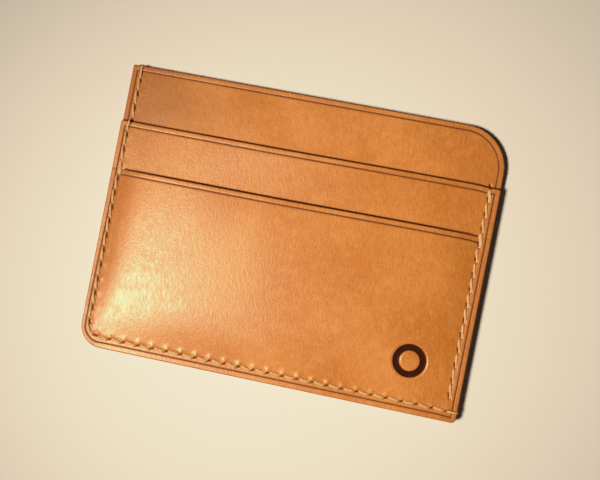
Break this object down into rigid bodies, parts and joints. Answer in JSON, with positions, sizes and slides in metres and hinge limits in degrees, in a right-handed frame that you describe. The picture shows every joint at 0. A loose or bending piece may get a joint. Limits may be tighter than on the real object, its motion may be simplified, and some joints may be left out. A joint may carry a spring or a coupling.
{
  "type": "card holder",
  "caption": "Slim card holder of stitched tan leather panels with stepped open-topped pockets and one large rounded top corner.",
  "frame": {"origin": "under the middle of the holder, on the rear face that it rests on", "axes": "+X across the width to the right as seen from the front, +Y from the bottom edge to the open top edge, +Z out of the front face"},
  "size_m": [0.1, 0.075, 0.006],
  "materials": {
    "tan_leather": "waxed vegetable-tanned leather, satin with a soft shine, burnished edges",
    "khaki_thread": "waxed linen thread",
    "cream_thread": "waxed linen thread"
  },
  "bodies": {
    "root": {"rear_panel": "tan_leather", "middle_panel": "tan_leather", "upper_pocket": "tan_leather", "lower_pocket": "tan_leather", "left_bottom_thread": "khaki_thread", "right_thread": "cream_thread", "stop_thread": "cream_thread"}
  },
  "joints": []
}
